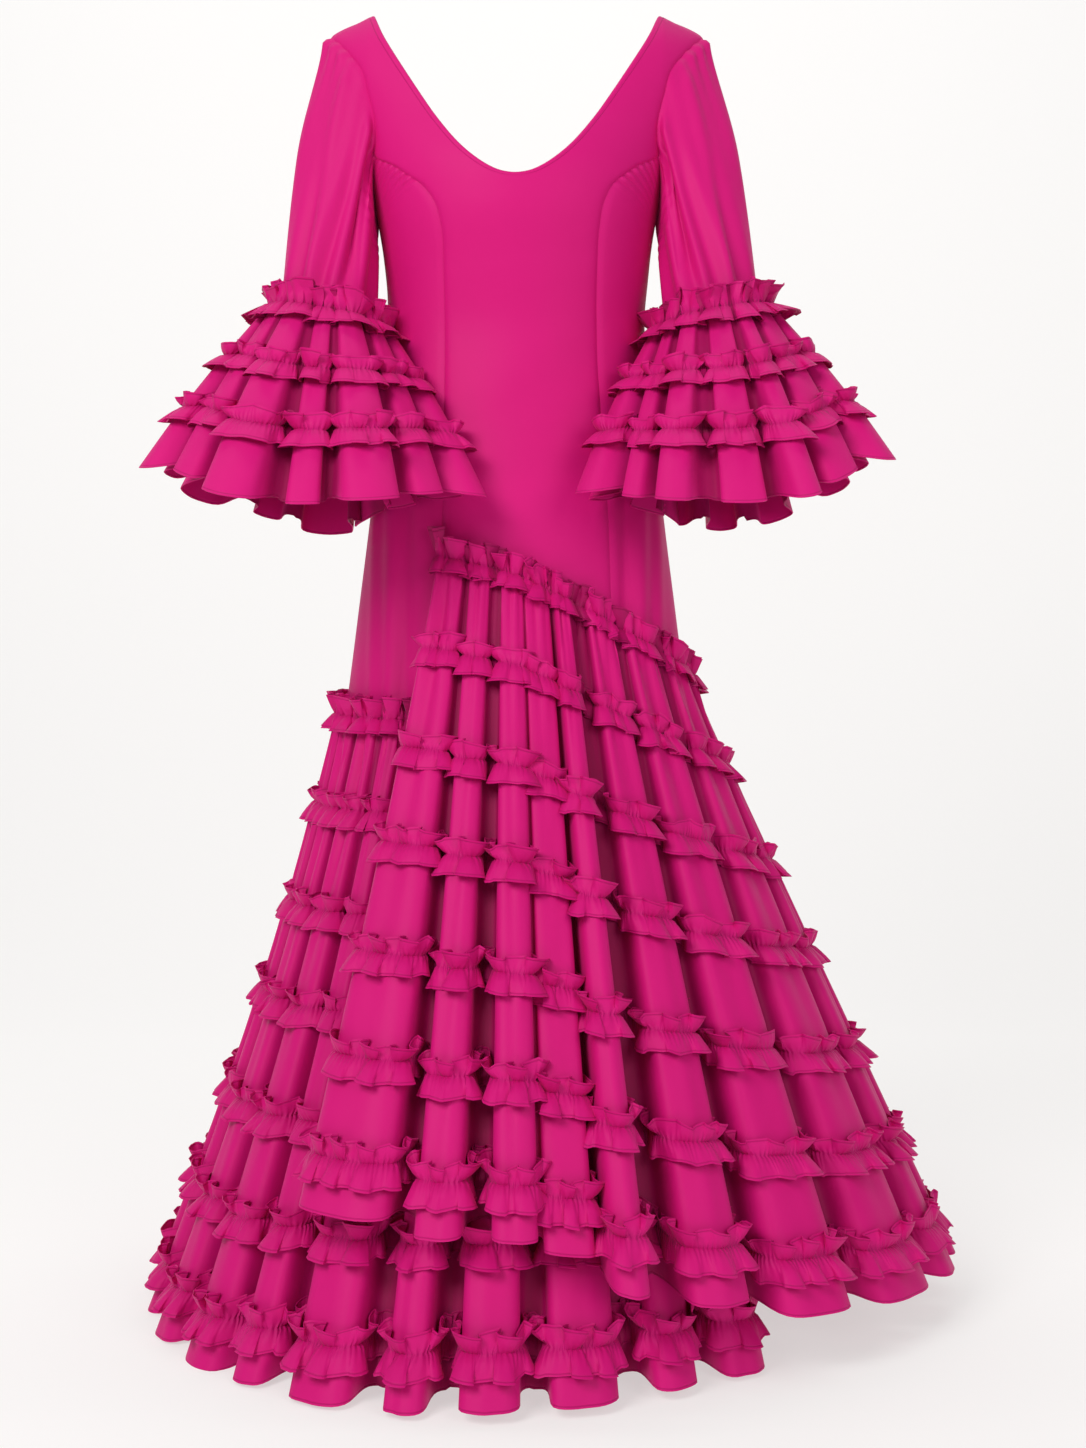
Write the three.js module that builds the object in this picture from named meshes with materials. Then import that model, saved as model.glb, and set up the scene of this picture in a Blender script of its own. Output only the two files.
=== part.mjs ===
// A floor-length flamenco dress in its worn, hollow form: princess-seamed bodice, three-quarter
// sleeves with ruffled bells, and one spiral flounce for a skirt with seven rows of ruffles.
// Millimetres. Z is up. The origin lies between the two neck points, on the shoulder line that
// the wearer carries. The front faces -Y and the wearer's left is +X.
import * as THREE from 'three';

// ---------------------------------------------------------------- driving dimensions
const WALL = 2;                 // thickness of the cloth walls
const GAP = 0.3;                // space kept between two pieces at a seam
const RIBBON_WALL = 1.6;        // thickness of the ruffle bands
const SKIRT_LIFT = 2.4;         // space between a ruffle band and the flounce under it
const BELL_LIFT = 3;            // and between one and the sleeve bell under it
const BODICE_END = 780;         // drop of the hidden lower edge of the bodice panels
const SHOULDER_ROUND = 115;     // drop over which the shoulders round off to full depth
const NECK_X = 159;             // neck point to the centre line
const TIP_X = 205;              // shoulder tip to the centre line
const TIP_DROP = 21;            // drop of the shoulder tip below the neck point
const UNDERARM_DROP = 226;      // drop of the underarm point
const JUNCTION_DROP = 165;      // drop at which the princess seam leaves the armhole
const BACK_NECK_SHARE = 0.93;   // depth of the back neckline beside the front one

// Drops are heights below the neck points, taken as positive numbers.
// half: half width; front and back: depth in front of and behind the side seams.
const TORSO = [
  { drop: 0, half: 215, front: 88, back: 85 },
  { drop: 21, half: 213, front: 88, back: 86 },
  { drop: 72, half: 200, front: 90, back: 90 },
  { drop: 98, half: 190, front: 94, back: 93 },
  { drop: 126, half: 180, front: 102, back: 97 },
  { drop: 150, half: 172, front: 112, back: 100 },
  { drop: 180, half: 163, front: 122, back: 101 },
  { drop: 226, half: 152, front: 123, back: 98 },
  { drop: 290, half: 143, front: 108, back: 91 },
  { drop: 352, half: 140, front: 96, back: 87 },
  { drop: 430, half: 147, front: 102, back: 100 },
  { drop: 567, half: 163, front: 114, back: 128 },
  { drop: 638, half: 172, front: 117, back: 132 },
  { drop: 694, half: 179, front: 121, back: 134 },
  { drop: 780, half: 190, front: 128, back: 140 },
];

// The strap between the neckline (inner) and the armhole (outer), from shoulder to neckline point.
const STRAP = [
  { innerX: 159, innerDrop: 0, outerX: 205, outerDrop: 21 },
  { innerX: 155, innerDrop: 12, outerX: 197, outerDrop: 30 },
  { innerX: 146, innerDrop: 35, outerX: 181, outerDrop: 50 },
  { innerX: 130, innerDrop: 65, outerX: 167, outerDrop: 72 },
  { innerX: 104, innerDrop: 109, outerX: 160, outerDrop: 98 },
  { innerX: 82, innerDrop: 144, outerX: 153, outerDrop: 126 },
  { innerX: 61, innerDrop: 172, outerX: 152, outerDrop: 150 },
  { innerX: 40, innerDrop: 192, outerX: 153, outerDrop: 165 },
  { innerX: 21, innerDrop: 204, outerX: 130, outerDrop: 182 },
  { innerX: 0, innerDrop: 211, outerX: 104, outerDrop: 206 },
];

// Distance of the princess seams from the centre line: front right, front left and back.
const PRINCESS = [
  { drop: 165, right: 153, left: 153, back: 153 },
  { drop: 182, right: 130, left: 130, back: 131 },
  { drop: 206, right: 101, left: 104, back: 108 },
  { drop: 226, right: 86, left: 94, back: 97 },
  { drop: 253, right: 78, left: 89, back: 89 },
  { drop: 298, right: 76, left: 87, back: 82 },
  { drop: 365, right: 75, left: 87, back: 76 },
  { drop: 453, right: 75, left: 91, back: 84 },
  { drop: 555, right: 76, left: 98, back: 96 },
  { drop: 646, right: 80, left: 101, back: 104 },
  { drop: 712, right: 83, left: 104, back: 108 },
  { drop: 780, right: 87, left: 107, back: 112 },
];

// The two sleeves and their bells. cuff: the sleeve end; hem: the bell's lower edge.
const ARMS = [
  { name: 'right', side: -1, cuffX: 199, hemX: 206, hemHalf: 152, rise: 52 },
  { name: 'left', side: 1, cuffX: 209, hemX: 222, hemHalf: 138, rise: 58 },
];
const CUFF = { y: -45, drop: 337, halfX: 49, halfY: 52, tilt: 12 };
const BELL_HEM = { y: -138, deep: 112, drop: 560, innerRise: 22 };
const BELL_TUBES = 14;
const BELL_ROWS = [0, 0.16, 0.27, 0.45, 0.56, 0.76, 1];
const BELL_CLEAR_TOP = 4;       // space between a bell and the hips behind it, at its top
const BELL_CLEAR_HEM = 18;      // and at its hem
const BELL_BANDS = [
  { name: 'heading', from: -0.06, to: 0.16 },
  { name: 'upper_ruffle', from: 0.27, to: 0.45 },
  { name: 'lower_ruffle', from: 0.56, to: 0.76 },
];

// The spiral flounce, by turn in degrees from the front towards the wearer's left.
// top and hem: drops of its two edges; side and deep: half width and depth of its hem.
const SPIRAL = [
  { turn: -33, top: 600, hem: 1203, side: 368, deep: 404 },
  { turn: -15, top: 607, hem: 1228, side: 385, deep: 402 },
  { turn: 4, top: 624, hem: 1236, side: 395, deep: 400 },
  { turn: 12, top: 638, hem: 1262, side: 400, deep: 404 },
  { turn: 20, top: 651, hem: 1286, side: 412, deep: 404 },
  { turn: 33, top: 674, hem: 1312, side: 432, deep: 400 },
  { turn: 49, top: 698, hem: 1331, side: 450, deep: 400 },
  { turn: 68, top: 716, hem: 1341, side: 462, deep: 405 },
  { turn: 90, top: 725, hem: 1346, side: 462, deep: 412 },
  { turn: 180, top: 743, hem: 1362, side: 430, deep: 415 },
  { turn: 270, top: 761, hem: 1384, side: 388, deep: 415 },
  { turn: 322, top: 770, hem: 1384, side: 385, deep: 412 },
  { turn: 360, top: 770, hem: 1376, side: 385, deep: 412 },
  { turn: 401, top: 770, hem: 1380, side: 380, deep: 352 },
];
// The gathers at the top sit further round than the tubes at the hem that they open into.
const TOP_LEAD = [
  { turn: -33, lead: 5.5 },
  { turn: -15, lead: -1.5 },
  { turn: 12, lead: 0 },
  { turn: 33, lead: 3 },
  { turn: 68, lead: 9 },
  { turn: 160, lead: 0 },
  { turn: 401, lead: 0 },
];
// Valleys between the tubes in front, in degrees. The rest of the round has even tubes.
const FRONT_VALLEYS = [-33, -15, -4.5, 4, 12, 20, 33, 49, 68];
const EVEN_TUBES = 27;
const LAST_TURN = 401;
const SKIRT_ROWS = [0, 0.24, 0.55, 0.86, 1];
const TOP_STAND = 5.5;          // flounce outside the bodice at its gathered top
const PLEAT_TOP = 2;            // pleat half depth at the top
const PLEAT_GROWTH = 12;        // what it gains down to the hem
const HOLLOW_SIDE = 12;         // how much the right side hangs in, half way down
const RUFFLES = [
  { name: 'header_ruffle', at: 0 },
  { name: 'ruffle_1', at: 0.155 },
  { name: 'ruffle_2', at: 0.32 },
  { name: 'ruffle_3', at: 0.47 },
  { name: 'ruffle_4', at: 0.635 },
  { name: 'ruffle_5', at: 0.785 },
  { name: 'ruffle_6', at: 0.925 },
];
const RUFFLE_ABOVE = 0.03;      // share of the flounce that a band covers above its gathers
const RUFFLE_BELOW = 0.045;     // and below them
// Gores of the flounce: the last tube of each.
const GORES = [
  { name: 'flounce_front', last: 7 },
  { name: 'flounce_left_side', last: 13 },
  { name: 'flounce_back_left', last: 18 },
  { name: 'flounce_back_right', last: 23 },
  { name: 'flounce_right_side', last: 29 },
  { name: 'flounce_under_front', last: 35 },
];

const FUCHSIA = new THREE.Color(0xc9166f);

// ---------------------------------------------------------------- small helpers
const mix = (a, b, share) => a + (b - a) * share;
const radians = THREE.MathUtils.degToRad;
const vector = (x, y, z) => new THREE.Vector3(x, y, z);

// Reads a column of a table at a place between its rows.
function look(table, key, at, column) {
  const last = table.length - 1;
  if (at <= table[0][key]) return table[0][column];
  if (at >= table[last][key]) return table[last][column];
  const next = table.findIndex((row) => row[key] >= at);
  const low = table[next - 1];
  const high = table[next];
  return mix(low[column], high[column], (at - low[key]) / (high[key] - low[key]));
}

// A wall is made from grids of corners. Each corner has its outer and its inner point.
function wallMesh(name, grids) {
  const places = new Map();
  const outer = [];
  const inner = [];
  const faces = [];
  const cornerOf = (corner) => {
    const key = corner.outer.toArray().map((value) => value.toFixed(3)).join();
    if (!places.has(key)) {
      places.set(key, outer.length);
      outer.push(corner.outer);
      inner.push(corner.inner);
    }
    return places.get(key);
  };
  const addFace = (a, b, c) => {
    if (a !== b && b !== c && c !== a) faces.push([a, b, c]);
  };
  for (const grid of grids) {
    for (let row = 0; row + 1 < grid.length; row += 1) {
      for (let column = 0; column + 1 < grid[row].length; column += 1) {
        const a = cornerOf(grid[row][column]);
        const b = cornerOf(grid[row][column + 1]);
        const c = cornerOf(grid[row + 1][column + 1]);
        const d = cornerOf(grid[row + 1][column]);
        addFace(a, b, c);
        addFace(a, c, d);
      }
    }
  }
  return closedMesh(name, outer, inner, faces);
}

// Joins the outer and inner skins along every free edge, so the wall is one closed body.
function closedMesh(name, outer, inner, faces) {
  const count = outer.length;
  const edges = new Set();
  const triangles = [];
  for (const [a, b, c] of faces) {
    triangles.push([a, b, c], [c + count, b + count, a + count]);
    edges.add(`${a}_${b}`).add(`${b}_${c}`).add(`${c}_${a}`);
  }
  for (const edge of edges) {
    const [from, to] = edge.split('_').map(Number);
    if (!edges.has(`${to}_${from}`)) {
      triangles.push([to, from, from + count], [to, from + count, to + count]);
    }
  }
  return clothMesh(name, [...outer, ...inner], triangles);
}

function signedVolume(points, triangles) {
  const cross = new THREE.Vector3();
  return triangles.reduce((sum, [a, b, c]) => {
    cross.crossVectors(points[b], points[c]);
    return sum + points[a].dot(cross) / 6;
  }, 0);
}

function clothMesh(name, points, triangles) {
  const inward = signedVolume(points, triangles) < 0;
  const turned = inward ? triangles.map(([a, b, c]) => [a, c, b]) : triangles;
  const geometry = new THREE.BufferGeometry().setFromPoints(points);
  geometry.setIndex(turned.flat());
  geometry.computeVertexNormals();
  const material = new THREE.MeshStandardMaterial({ color: FUCHSIA, roughness: 0.55, metalness: 0 });
  const mesh = new THREE.Mesh(geometry, material);
  mesh.name = name;
  return mesh;
}

// Direction out of a grid of points at one of its corners. A round grid closes on itself.
function gridNormal(grid, row, column, round) {
  const width = grid[row].length - 1;
  const before = round && column === 0 ? width - 1 : Math.max(column - 1, 0);
  const after = round && column === width ? 1 : Math.min(column + 1, width);
  const above = Math.max(row - 1, 0);
  const below = Math.min(row + 1, grid.length - 1);
  const across = grid[row][after].clone().sub(grid[row][before]);
  const down = grid[below][column].clone().sub(grid[above][column]);
  return down.cross(across).normalize();
}

// Gives a grid its wall. The wearer's right side is drawn the other way round: facing is -1 there.
function thicken(grid, round, facing = 1) {
  return grid.map((line, row) => line.map((point, column) => {
    const normal = gridNormal(grid, row, column, round).multiplyScalar(facing);
    return { outer: point, inner: point.clone().addScaledVector(normal, -WALL), normal };
  }));
}

// ---------------------------------------------------------------- bodice
// A point of the bodice. Turn 0 is the centre front, 90 the left side seam, 180 the back.
function torsoPoint(turn, drop) {
  const half = look(TORSO, 'drop', drop, 'half');
  const depth = look(TORSO, 'drop', drop, Math.cos(turn) > 0 ? 'front' : 'back');
  const x = half * Math.sin(turn);
  const slope = TIP_DROP / (TIP_X - NECK_X);
  const below = Math.max(drop - slope * Math.max(Math.abs(x) - NECK_X, 0), 0);
  const rounding = Math.sqrt(1 - Math.max(1 - below / SHOULDER_ROUND, 0) ** 2);
  return vector(x, -depth * rounding * Math.cos(turn), -drop);
}

function torsoNormal(turn, drop) {
  const step = 1;
  const stepTurn = 0.01;
  const around = torsoPoint(turn + stepTurn, drop).sub(torsoPoint(turn - stepTurn, drop));
  const down = torsoPoint(turn, drop + step).sub(torsoPoint(turn, drop - step));
  return down.cross(around).normalize();
}

const turnOf = (x, drop) => Math.asin(x / look(TORSO, 'drop', drop, 'half'));

// Front pieces stay in front of the shoulder and side seams, and back pieces behind them.
function seamed(point, face) {
  const limit = GAP / 2;
  point.y = face === 'front' ? Math.min(point.y, -limit) : Math.max(point.y, limit);
  return point;
}

function torsoCorner({ x, turn, drop }, face) {
  const angle = turn ?? turnOf(x, drop);
  const around = face === 'front' ? angle : Math.PI - angle;
  const outer = torsoPoint(around, drop);
  const inner = outer.clone().addScaledVector(torsoNormal(around, drop), -WALL);
  return { outer: seamed(outer, face), inner: seamed(inner, face) };
}

// Corners evenly spaced between two places on the bodice.
function torsoLine(from, to, steps, face) {
  const start = from.turn ?? turnOf(from.x, from.drop);
  const end = to.turn ?? turnOf(to.x, to.drop);
  return Array.from({ length: steps + 1 }, (_, index) => {
    const share = index / steps;
    return torsoCorner({ turn: mix(start, end, share), drop: mix(from.drop, to.drop, share) }, face);
  });
}

const STRAP_STEPS = 3;
const SIDE_STEPS = 3;
const frontSeam = (side) => (side < 0 ? 'right' : 'left');
const seamColumn = (side, face) => (face === 'back' ? 'back' : frontSeam(side));

// One strap, from the armhole to the neckline, or to the centre seam of the back.
function strapGrid(side, face) {
  const share = face === 'back' ? BACK_NECK_SHARE : 1;
  const shift = face === 'back' ? GAP / 2 : 0;
  return STRAP.map((row, index) => {
    const onSeam = index === STRAP.length - 1;
    const seam = onSeam ? look(PRINCESS, 'drop', row.outerDrop, seamColumn(side, face)) : row.outerX;
    const outer = { x: side * (seam - GAP), drop: row.outerDrop };
    const inner = { x: side * Math.max(row.innerX, shift), drop: row.innerDrop * share };
    return torsoLine(outer, inner, STRAP_STEPS, face);
  });
}

function frontCentre() {
  const right = strapGrid(-1, 'front');
  const left = strapGrid(1, 'front').map((line) => [...line].reverse());
  const join = [...right.at(-1), ...left.at(-1).slice(1)];
  const rows = PRINCESS.filter((row) => row.drop > STRAP.at(-1).outerDrop);
  const lower = rows.map((row) => {
    const from = { x: -(row.right - GAP), drop: row.drop };
    const to = { x: row.left - GAP, drop: row.drop };
    return torsoLine(from, to, 2 * STRAP_STEPS, 'front');
  });
  return wallMesh('front_centre', [right, left, [join, ...lower]]);
}

function backCentre(side, name) {
  const strap = strapGrid(side, 'back');
  const rows = PRINCESS.filter((row) => row.drop > STRAP.at(-1).outerDrop);
  const lower = rows.map((row) => {
    const from = { x: side * (row.back - GAP), drop: row.drop };
    const to = { x: side * GAP / 2, drop: row.drop };
    return torsoLine(from, to, STRAP_STEPS, 'back');
  });
  return wallMesh(`back_centre_${name}`, [[...strap, ...lower]]);
}

// Drop on the side seam that goes with a drop on the princess seam.
function sideDrop(drop) {
  const share = (drop - JUNCTION_DROP) / (BODICE_END - JUNCTION_DROP);
  return mix(UNDERARM_DROP, BODICE_END, share);
}

function sideLine(row, side, face) {
  const from = { x: side * (row[seamColumn(side, face)] + GAP / 2), drop: row.drop };
  const to = { turn: side * Math.PI / 2, drop: sideDrop(row.drop) };
  return torsoLine(from, to, SIDE_STEPS, face);
}

function sidePanel(side, face, name) {
  return wallMesh(`${face}_side_${name}`, [PRINCESS.map((row) => sideLine(row, side, face))]);
}

// ---------------------------------------------------------------- neck binding
const BINDING = { away: 0.4, width: 2.6, proud: 0.5 };

// The neckline as one round of places, front point, left shoulder, back point, right shoulder.
function neckline() {
  const places = (side, face) => STRAP.map((row) => {
    const share = face === 'back' ? BACK_NECK_SHARE : 1;
    const drop = row.innerDrop * share;
    const angle = turnOf(side * row.innerX, drop);
    return { turn: face === 'front' ? angle : Math.PI - angle, drop };
  });
  const upLeft = places(1, 'front').reverse();
  const downLeft = places(1, 'back').slice(1);
  const upRight = places(-1, 'back').reverse().slice(1);
  const downRight = places(-1, 'front').slice(1);
  return [...upLeft, ...downLeft, ...upRight, ...downRight];
}

function neckBinding() {
  const places = neckline();
  const points = places.map(({ turn, drop }) => torsoPoint(turn, drop));
  const count = points.length - 1;
  const sections = points.slice(0, count).map((point, index) => {
    const along = points[(index + 1) % count].clone().sub(points[(index + count - 1) % count]);
    const normal = torsoNormal(places[index].turn, places[index].drop);
    if (places[index].drop === 0) normal.set(0, 0, 1);
    const away = along.clone().cross(normal).normalize();
    if (away.dot(vector(-point.x, 0, NECK_X)) < 0) away.negate();
    const near = BINDING.away;
    const far = BINDING.away + BINDING.width;
    const corner = (out, up) => point.clone().addScaledVector(away, out).addScaledVector(normal, up);
    const low = -WALL - BINDING.proud;
    return [corner(near, BINDING.proud), corner(far, BINDING.proud), corner(far, low), corner(near, low)];
  });
  const triangles = [];
  sections.forEach((section, index) => {
    const here = index * 4;
    const there = ((index + 1) % count) * 4;
    for (let edge = 0; edge < 4; edge += 1) {
      const next = (edge + 1) % 4;
      triangles.push([here + edge, there + edge, there + next], [here + edge, there + next, here + next]);
    }
  });
  return clothMesh('neck_binding', sections.flat(), triangles);
}

// ---------------------------------------------------------------- sleeves
const SLEEVE_ROWS = [0, 0.07, 0.2, 0.42, 0.7, 1];
const CAP_PUFF = 9;             // how far the gathered cap stands out at the side
const PUFF_RISE = 0.7;          // below 1 the cap stands out most above the sleeve's middle
const CAP_END = 40;             // drop down to which the sleeve's edge lies along the bodice
const CAP_FREE = 150;           // drop below which it hangs on its own
const ARMHOLE_STAND = 0.7;      // sleeve beside the edge of the armhole

// The armhole seam as a round of places: shoulder tip, front, underarm, back.
function armhole(side) {
  const half = (face) => {
    const strap = STRAP.filter((row) => row.outerDrop < JUNCTION_DROP);
    const upper = strap.map((row) => torsoLine({ x: side * row.outerX, drop: row.outerDrop },
      { x: side * row.innerX, drop: row.innerDrop }, 1, face)[0]);
    return [...upper, ...sideLine(PRINCESS[0], side, face)];
  };
  const front = half('front');
  const back = half('back').slice(1, -1);
  for (const corner of [front[0], front.at(-1)]) {
    corner.outer.y = 0;
    corner.inner.y = 0;
  }
  return [...front, ...back.reverse(), front[0]];
}

function cuffPoint(arm, angle, spread, drop) {
  const x = arm.side * (arm.cuffX + (CUFF.halfX + spread) * Math.cos(angle));
  const y = CUFF.y - (CUFF.halfY + spread) * Math.sin(angle);
  return vector(x, y, -drop + CUFF.tilt * Math.cos(angle));
}

function sleeve(arm) {
  const round = armhole(arm.side);
  const lengths = [0];
  for (let index = 1; index < round.length; index += 1) {
    lengths.push(lengths[index - 1] + round[index].outer.distanceTo(round[index - 1].outer));
  }
  const grid = SLEEVE_ROWS.map((share) => round.map(({ outer }, index) => {
    const angle = 2 * Math.PI * lengths[index] / lengths.at(-1);
    const start = outer.clone().add(vector(arm.side * ARMHOLE_STAND, 0, 0));
    if (outer.z < -JUNCTION_DROP) start.z += ARMHOLE_STAND;
    const point = start.lerp(cuffPoint(arm, angle, 0, CUFF.drop), share);
    const puff = CAP_PUFF * Math.sin(Math.PI * share ** PUFF_RISE) * Math.max(Math.cos(angle), 0);
    return point.add(vector(arm.side * puff, 0, 0));
  }));
  const corners = thicken(grid, true, -arm.side);
  corners[0].forEach((corner, index) => {
    const hang = THREE.MathUtils.smoothstep(-corner.outer.z, CAP_END, CAP_FREE);
    const bodice = round[index].inner.clone().sub(round[index].outer);
    const own = corner.inner.clone().sub(corner.outer);
    const inward = bodice.lerp(own, hang).normalize();
    corner.inner.copy(corner.outer).addScaledVector(inward, WALL);
  });
  return wallMesh(`sleeve_${arm.name}`, [corners]);
}

// ---------------------------------------------------------------- sleeve bells
const BELL_STAND = 6.5;           // bell outside the sleeve where it is sewn on
const BELL_TOP_DROP = 330;
const BELL_PLEAT_TOP = 1.6;
const BELL_PLEAT_GROWTH = 11;

// Keeps a point clear of the hips, by moving it out to a rounded form that stands clear of them.
function clearOfHips(point, clear) {
  const half = look(TORSO, 'drop', -point.z, 'half') + clear;
  const deep = look(TORSO, 'drop', -point.z, 'front') + clear;
  const within = Math.hypot(point.x / half, point.y / deep);
  const out = Math.max(1 / within, 1);
  return point.set(point.x * out, point.y * out, point.z);
}

function bellGrid(arm) {
  const columns = 2 * BELL_TUBES;
  return BELL_ROWS.map((share) => Array.from({ length: columns + 1 }, (_, column) => {
    const angle = 2 * Math.PI * (column % columns) / columns;
    const pleat = (column % 2 ? 1 : -1) * (BELL_PLEAT_TOP + BELL_PLEAT_GROWTH * share);
    const top = cuffPoint(arm, angle, BELL_STAND + pleat, BELL_TOP_DROP);
    const lift = (Math.cos(angle) > 0 ? arm.rise : BELL_HEM.innerRise) * Math.cos(angle) ** 2;
    const x = arm.side * (arm.hemX + (arm.hemHalf + pleat) * Math.cos(angle));
    const y = BELL_HEM.y - (BELL_HEM.deep + pleat) * Math.sin(angle);
    const clear = mix(BELL_CLEAR_TOP, BELL_CLEAR_HEM, Math.min(2 * share, 1));
    return clearOfHips(top.lerp(vector(x, y, -BELL_HEM.drop + lift), share), clear);
  }));
}

// A ruffle band on a cloth: its corners are the cloth's own, between two shares, moved out.
// Above the top of the cloth a band stands straight up.
function bandMesh(name, cloth, rows, { from, to, lift }) {
  const place = (share) => {
    const onCloth = Math.max(share, 0);
    const next = Math.max(rows.findIndex((row) => row >= onCloth), 1);
    const part = (onCloth - rows[next - 1]) / (rows[next] - rows[next - 1]);
    return cloth[next].map((corner, column) => {
      const above = cloth[next - 1][column];
      const point = above.outer.clone().lerp(corner.outer, part);
      point.z += (onCloth - share) * above.outer.distanceTo(corner.outer) / (rows[next] - rows[next - 1]);
      const normal = above.normal.clone().lerp(corner.normal, part).normalize();
      const inner = point.clone().addScaledVector(normal, lift);
      const outer = point.clone().addScaledVector(normal, lift + RIBBON_WALL);
      return { outer, inner };
    });
  };
  return wallMesh(name, [[place(from), place(to)]]);
}

function bell(arm) {
  const corners = thicken(bellGrid(arm), true, -arm.side);
  const meshes = [wallMesh(`sleeve_bell_${arm.name}`, [corners])];
  for (const band of BELL_BANDS) {
    const name = `sleeve_${band.name}_${arm.name}`;
    meshes.push(bandMesh(name, corners, BELL_ROWS, { ...band, lift: BELL_LIFT }));
  }
  return meshes;
}

// ---------------------------------------------------------------- spiral flounce
function valleyTurns() {
  const start = FRONT_VALLEYS.at(-1);
  const step = (LAST_TURN - start) / EVEN_TUBES;
  const even = Array.from({ length: EVEN_TUBES }, (_, index) => start + step * (index + 1));
  return [...FRONT_VALLEYS, ...even];
}

// A point of the flounce at a turn of its hem and a share of the way down, moved out by pleat.
function flouncePoint(turn, share, pleat) {
  const lead = look(TOP_LEAD, 'turn', turn, 'lead');
  const top = look(SPIRAL, 'turn', turn, 'top');
  const upper = radians(turn + lead);
  const lower = radians(turn);
  const half = look(TORSO, 'drop', top, 'half') + TOP_STAND;
  const depth = look(TORSO, 'drop', top, Math.cos(upper) > 0 ? 'front' : 'back') + TOP_STAND;
  const start = vector(half * Math.sin(upper), -depth * Math.cos(upper), -top);
  const side = look(SPIRAL, 'turn', turn, 'side');
  const deep = look(SPIRAL, 'turn', turn, 'deep');
  const hem = look(SPIRAL, 'turn', turn, 'hem');
  const end = vector(side * Math.sin(lower), -deep * Math.cos(lower), -hem);
  const point = start.lerp(end, share);
  const hang = HOLLOW_SIDE * Math.sin(Math.PI * share) * Math.max(-Math.sin(lower), 0);
  const out = pleat - hang;
  return point.add(vector(out * Math.sin(lower), -out * Math.cos(lower), 0));
}

function flounceGrid() {
  const valleys = valleyTurns();
  const turns = valleys.flatMap((turn, index) => {
    const next = valleys[index + 1];
    return next === undefined ? [turn] : [turn, (turn + next) / 2];
  });
  return SKIRT_ROWS.map((share) => turns.map((turn, column) => {
    const depth = PLEAT_TOP + PLEAT_GROWTH * share;
    return flouncePoint(turn, share, column % 2 ? depth : -depth);
  }));
}

// One gore: a run of columns, with its two side edges drawn in by half a seam gap.
function goreMesh(name, cloth, first, last) {
  const grid = cloth.map((line) => line.slice(first, last + 1).map((corner, index, run) => {
    if (index > 0 && index < run.length - 1) return corner;
    const neighbour = run[index === 0 ? 1 : index - 1];
    const shift = neighbour.outer.clone().sub(corner.outer).setLength(GAP);
    return { outer: corner.outer.clone().add(shift), inner: corner.inner.clone().add(shift) };
  }));
  return wallMesh(name, [grid]);
}

function flounce() {
  const cloth = thicken(flounceGrid(), false);
  const meshes = [];
  let first = 0;
  for (const gore of GORES) {
    const last = 2 * gore.last;
    meshes.push(goreMesh(gore.name, cloth, first, last));
    first = last;
  }
  for (const ruffle of RUFFLES) {
    const reach = { from: ruffle.at - RUFFLE_ABOVE, to: ruffle.at + RUFFLE_BELOW, lift: SKIRT_LIFT };
    meshes.push(bandMesh(ruffle.name, cloth, SKIRT_ROWS, reach));
  }
  return meshes;
}

// ---------------------------------------------------------------- the dress
const dress = new THREE.Group();
dress.add(frontCentre());
for (const { name, side } of ARMS) {
  dress.add(sidePanel(side, 'front', name));
  dress.add(sidePanel(side, 'back', name));
  dress.add(backCentre(side, name));
}
dress.add(neckBinding());
for (const arm of ARMS) {
  dress.add(sleeve(arm));
  dress.add(...bell(arm));
}
dress.add(...flounce());

export default dress;
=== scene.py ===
import math

import bpy
import numpy as np
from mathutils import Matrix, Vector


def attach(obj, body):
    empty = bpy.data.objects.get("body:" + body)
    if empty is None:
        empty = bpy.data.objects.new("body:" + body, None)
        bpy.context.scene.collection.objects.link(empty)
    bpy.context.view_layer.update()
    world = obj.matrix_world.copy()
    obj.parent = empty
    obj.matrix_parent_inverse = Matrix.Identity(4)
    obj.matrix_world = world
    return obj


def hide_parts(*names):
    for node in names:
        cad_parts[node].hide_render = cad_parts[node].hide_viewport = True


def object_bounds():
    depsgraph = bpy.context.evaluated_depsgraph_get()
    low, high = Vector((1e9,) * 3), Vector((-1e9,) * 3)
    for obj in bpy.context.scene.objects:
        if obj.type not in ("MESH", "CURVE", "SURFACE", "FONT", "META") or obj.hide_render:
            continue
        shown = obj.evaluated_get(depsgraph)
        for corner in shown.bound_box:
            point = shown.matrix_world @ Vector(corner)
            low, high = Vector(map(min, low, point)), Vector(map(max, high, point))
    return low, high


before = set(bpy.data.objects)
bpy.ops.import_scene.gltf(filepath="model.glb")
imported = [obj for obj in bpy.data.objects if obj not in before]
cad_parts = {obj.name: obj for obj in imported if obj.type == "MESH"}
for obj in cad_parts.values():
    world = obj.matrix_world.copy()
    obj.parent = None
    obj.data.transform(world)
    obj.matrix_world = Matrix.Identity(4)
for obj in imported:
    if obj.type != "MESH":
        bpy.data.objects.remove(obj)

cad_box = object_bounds()

# The dress is drawn in millimetres, in the frame's own axes, and turned into metres at the end.
# Drops are heights below the neck points. Turns are degrees from the front to the wearer's left.
MM = 0.001
CLOTH = 1.0                 # thickness of the cloth shells
RUFFLE_CLOTH = 0.8          # and of the gathered bands
BODICE_END = 780
SHOULDER_ROUND = 115
NECK_X = 159
TIP_X = 205
TIP_DROP = 21
UNDERARM_DROP = 226
JUNCTION_DROP = 165
BACK_NECK_SHARE = 0.93

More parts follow.
